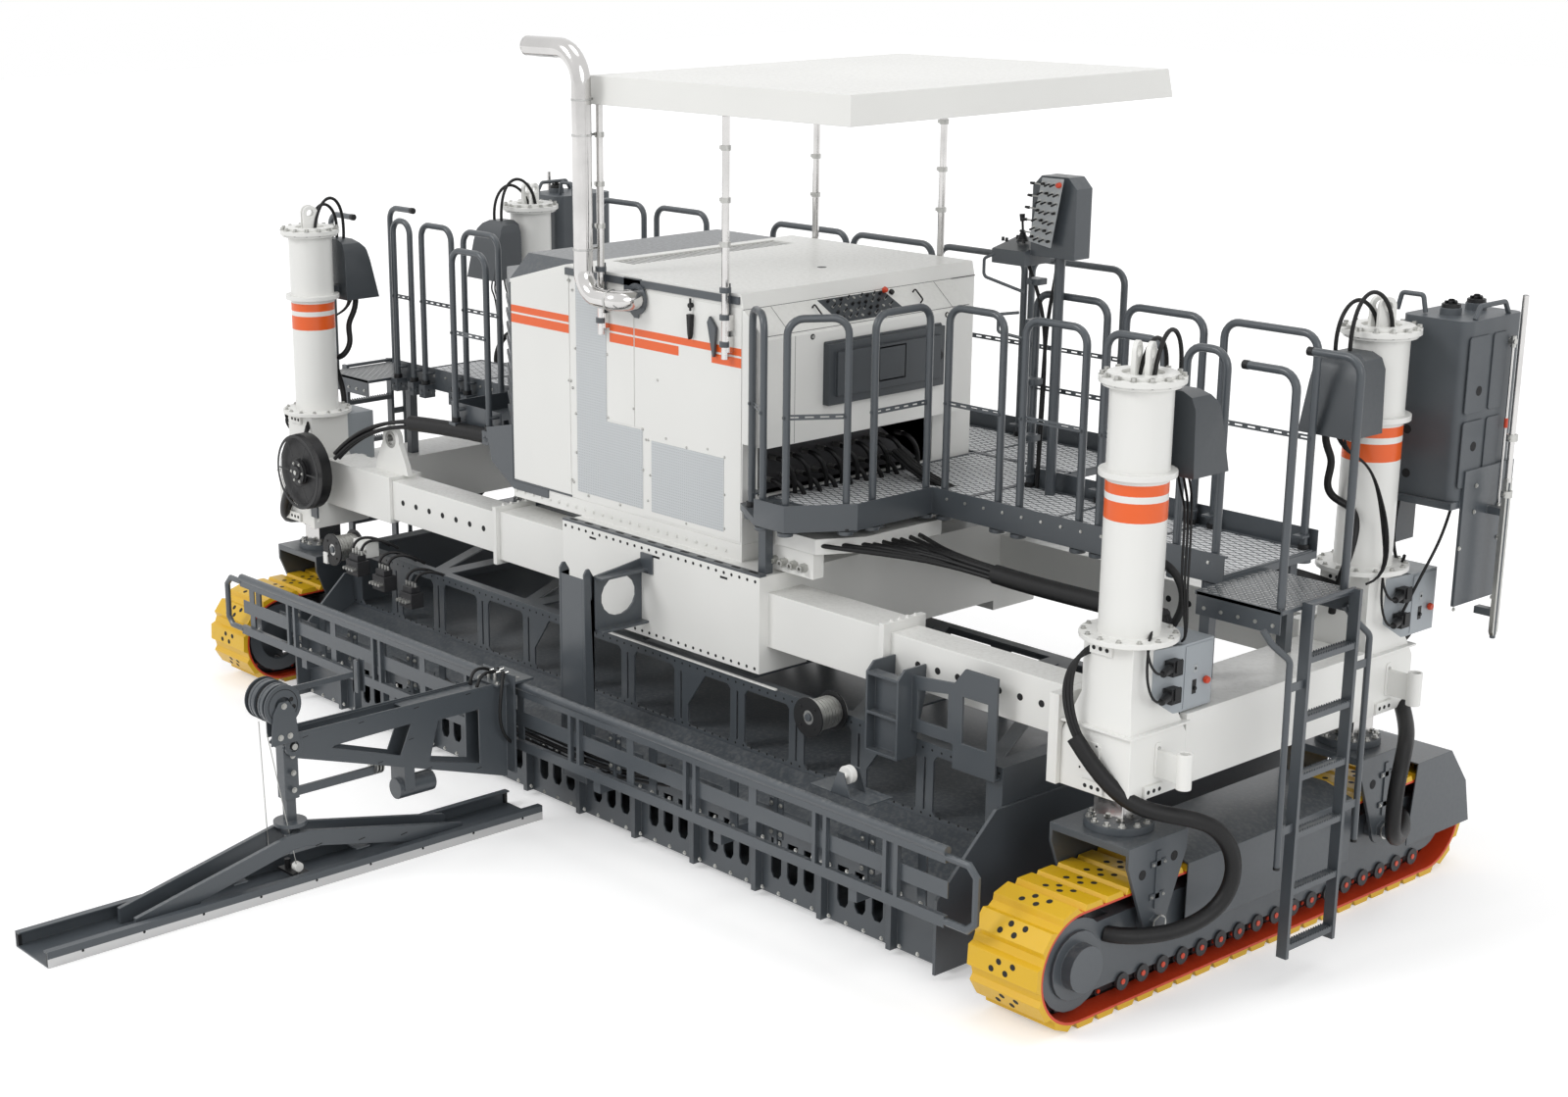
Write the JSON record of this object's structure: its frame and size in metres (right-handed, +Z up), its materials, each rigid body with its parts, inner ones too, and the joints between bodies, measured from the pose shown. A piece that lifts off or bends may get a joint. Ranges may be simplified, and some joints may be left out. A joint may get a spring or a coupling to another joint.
{
  "type": "slipform paver",
  "caption": "Slipform paver: a two-track concrete paving machine on lifting columns with engine hood, canopy, mould and trailing smoother.",
  "frame": {"origin": "on the ground, under the middle of the whole machine", "axes": "+X to the machine's right, +Y forward in the paving direction, +Z up"},
  "size_m": [8.3406, 6.795, 4.4936],
  "materials": {
    "white_paint": "gloss",
    "dark_grey_paint": "satin",
    "yellow_paint": "satin",
    "black_steel": "rough",
    "bare_steel": "brushed",
    "chrome": "polished",
    "grey_plastic": "matte",
    "black_plastic": "matte"
  },
  "bodies": {
    "frame": {"auger_hangers": "dark_grey_paint", "canopy": "white_paint", "canopy_posts": "chrome", "console": "black_plastic", "deck_supports": "dark_grey_paint", "decks": "dark_grey_paint", "engine": "black_steel", "exhaust": "chrome", "front_rails": "dark_grey_paint", "hood": "white_paint", "left_column_controls": "grey_plastic", "left_columns": "white_paint", "left_frame_modules": "white_paint", "left_rails": "dark_grey_paint", "left_side_beam": "white_paint", "left_tank_bracket": "dark_grey_paint", "left_water_tank": "grey_plastic", "main_frame": "white_paint", "mould_hangers": "dark_grey_paint", "mould_pan": "dark_grey_paint", "mould_truss": "dark_grey_paint", "radiator_end": "dark_grey_paint", "reel_bracket": "dark_grey_paint", "right_column_controls": "grey_plastic", "right_columns": "white_paint", "right_rails": "dark_grey_paint", "right_side_beam": "white_paint", "right_tank_bracket": "dark_grey_paint", "right_water_tank": "grey_plastic", "side_forms": "dark_grey_paint", "smoother_guide_beam": "dark_grey_paint", "telescopic_beams": "white_paint"},
    "right_track_unit": {"right_track": "yellow_paint", "right_track_frame": "dark_grey_paint", "right_track_wheels": "black_steel", "right_track_covers": "dark_grey_paint", "right_forks": "dark_grey_paint", "right_legs": "bare_steel"},
    "left_track_unit": {"left_track": "yellow_paint", "left_track_frame": "dark_grey_paint", "left_track_wheels": "black_steel", "left_track_covers": "dark_grey_paint", "left_forks": "dark_grey_paint", "left_legs": "bare_steel"},
    "right_auger": {"right_auger": "bare_steel"},
    "left_auger": {"left_auger": "bare_steel"},
    "smoother_carriage": {"smoother_carriage": "dark_grey_paint"},
    "smoother_leg": {"smoother_leg": "dark_grey_paint"},
    "smoother_slide": {"smoother_slide": "bare_steel"},
    "smoother_pan": {"smoother_frame": "dark_grey_paint", "smoother_pan": "bare_steel"},
    "panel_cover": {"panel_cover": "grey_plastic"},
    "right_ladder": {"right_ladder": "dark_grey_paint"},
    "left_ladder": {"left_ladder": "dark_grey_paint"},
    "cable_reel": {"cable_reel": "black_plastic"},
    "right_wire_drum": {"right_wire_drum": "bare_steel"},
    "left_wire_drum": {"left_wire_drum": "bare_steel"}
  },
  "joints": [
    {"name": "right_lift", "type": "slide", "parent": "frame", "child": "right_track_unit", "axis": [0, 0, 1], "range_m": [-0.9, 0.12]},
    {"name": "left_lift", "type": "slide", "parent": "frame", "child": "left_track_unit", "axis": [0, 0, 1], "range_m": [-0.9, 0.12]},
    {"name": "right_auger_spin", "type": "hinge", "parent": "frame", "child": "right_auger", "pos_m": [1.49, 2.5025, 0.33], "axis": [1, 0, 0], "continuous": true},
    {"name": "left_auger_spin", "type": "hinge", "parent": "frame", "child": "left_auger", "pos_m": [-1.49, 2.5025, 0.33], "axis": [1, 0, 0], "continuous": true},
    {"name": "smoother_traverse", "type": "slide", "parent": "frame", "child": "smoother_carriage", "axis": [1, 0, 0], "range_m": [-2.4, 2.8]},
    {"name": "smoother_swing", "type": "hinge", "parent": "smoother_carriage", "child": "smoother_leg", "pos_m": [-0.25, -1.8075, 0.82], "axis": [1, 0, 0], "range_deg": [-5, 5]},
    {"name": "smoother_leg_lift", "type": "slide", "parent": "smoother_leg", "child": "smoother_slide", "axis": [0, 0, 1], "range_m": [0, 0.12]},
    {"name": "pan_tilt", "type": "hinge", "parent": "smoother_slide", "child": "smoother_pan", "pos_m": [-0.25, -1.8075, 0.3], "axis": [1, 0, 0], "range_deg": [-5, 5]},
    {"name": "panel_cover_lift", "type": "hinge", "parent": "frame", "child": "panel_cover", "pos_m": [1.0623, 1.4575, 2.866], "axis": [0, -1, 0], "range_deg": [0, 100]},
    {"name": "right_ladder_fold", "type": "hinge", "parent": "frame", "child": "right_ladder", "pos_m": [4.125, 1.4075, 1.992], "axis": [0, -1, 0], "range_deg": [0, 90]},
    {"name": "left_ladder_fold", "type": "hinge", "parent": "frame", "child": "left_ladder", "pos_m": [-4.125, 1.4075, 1.992], "axis": [0, 1, 0], "range_deg": [0, 90]},
    {"name": "cable_reel_spin", "type": "hinge", "parent": "frame", "child": "cable_reel", "pos_m": [-3.275, 0.2975, 1.5], "axis": [0, 1, 0], "continuous": true},
    {"name": "right_drum_spin", "type": "hinge", "parent": "frame", "child": "right_wire_drum", "pos_m": [1.76, 0.3225, 1.03], "axis": [0, 1, 0], "continuous": true},
    {"name": "left_drum_spin", "type": "hinge", "parent": "frame", "child": "left_wire_drum", "pos_m": [-2.88, 0.3225, 1.03], "axis": [0, 1, 0], "continuous": true}
  ],
  "couplings": [
    {"joint": "pan_tilt", "follows": "smoother_swing", "ratio": -1}
  ]
}
